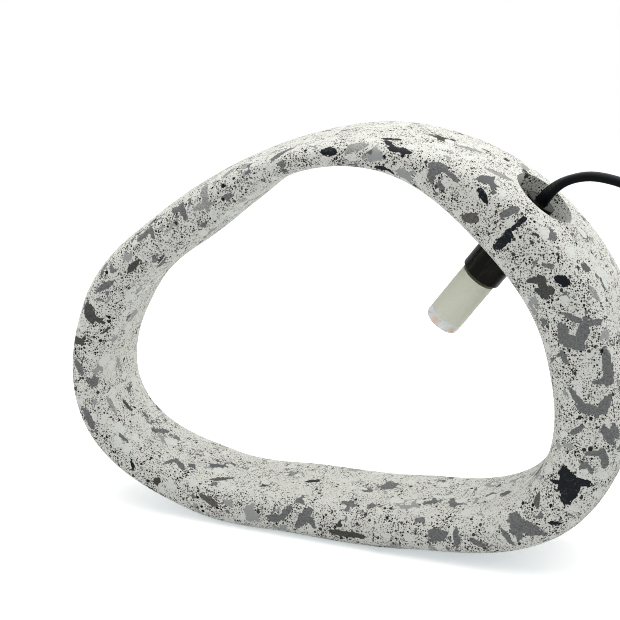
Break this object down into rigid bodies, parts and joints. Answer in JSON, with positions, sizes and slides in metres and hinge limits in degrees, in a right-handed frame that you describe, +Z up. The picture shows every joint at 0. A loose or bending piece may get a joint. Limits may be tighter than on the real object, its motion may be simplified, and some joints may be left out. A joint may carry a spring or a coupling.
{
  "type": "table lamp",
  "caption": "Standing closed loop of cast terrazzo with a plug-in LED capsule lamp drilled through its shoulder, on a flat black lead with a rocker switch and a two-pin plug.",
  "frame": {"origin": "under the middle of the lamp's width and depth, on the surface that it stands on", "axes": "+X along the loop's long side, towards the shoulder with the lamp holder; +Z up; the front faces -Y"},
  "size_m": [0.4361, 0.0702, 0.1764],
  "materials": {
    "terrazzo": "smooth matte, speckled",
    "silicone": "matte",
    "black_plastic": "satin",
    "black_cable": "satin",
    "steatite": "unglazed",
    "brass": "bright",
    "zinc": "zinc plated",
    "nickel": "nickel plated",
    "clear_plastic": "clear gloss",
    "pale_plastic": "matte",
    "olive_plastic": "satin",
    "white_board": "solder mask",
    "phosphor": "matte",
    "green_board": "solder mask",
    "brown_core": "satin",
    "blue_core": "satin"
  },
  "bodies": {
    "lamp": {"stone_loop": "terrazzo", "foot_pad_1": "silicone", "foot_pad_2": "silicone", "foot_pad_3": "silicone", "foot_pad_4": "silicone", "holder_shell": "black_plastic", "socket_insert": "steatite", "contact_clip_1": "brass", "contact_clip_2": "brass", "insert_screw_1": "zinc", "insert_screw_2": "zinc", "thread_washer": "zinc", "thread_nut": "zinc", "cord_grip": "black_plastic", "grip_screw": "zinc", "holder_core_live": "brown_core", "holder_core_neutral": "blue_core", "lead_upper": "black_cable", "lead_link": "black_cable", "lead_coil": "black_cable", "lead_tail": "black_cable", "switch_base": "black_plastic", "switch_cover": "black_plastic", "switch_pin": "zinc", "switch_leaf": "brass", "switch_anvil": "brass", "case_screw_1": "zinc", "case_screw_2": "zinc", "switch_core_neutral": "blue_core", "switch_core_live_1": "brown_core", "switch_core_live_2": "brown_core", "plug_body": "black_plastic", "plug_pin_1": "nickel", "plug_pin_2": "nickel", "plug_sleeve_1": "black_plastic", "plug_sleeve_2": "black_plastic"},
    "capsule": {"bulb_base": "olive_plastic", "bulb_pin_1": "nickel", "bulb_pin_2": "nickel", "bulb_wire_1": "nickel", "bulb_wire_2": "nickel", "bulb_cover": "clear_plastic", "bulb_body": "pale_plastic", "led_board": "white_board", "led_chip_1": "phosphor", "led_chip_2": "phosphor", "led_chip_3": "phosphor", "led_chip_4": "phosphor", "led_chip_5": "phosphor", "driver_board": "green_board", "driver_capacitor": "black_plastic", "driver_chip": "black_plastic"},
    "rocker": {"switch_rocker": "black_plastic"}
  },
  "joints": [
    {"name": "capsule_pull", "type": "slide", "parent": "lamp", "child": "capsule", "axis": [-0.5878, 0, -0.809], "range_m": [0, 0.0122]},
    {"name": "rocker_tilt", "type": "hinge", "parent": "lamp", "child": "rocker", "pos_m": [0.199, -0.01, 0.011], "axis": [0, -1, 0], "range_deg": [0, 16]}
  ]
}
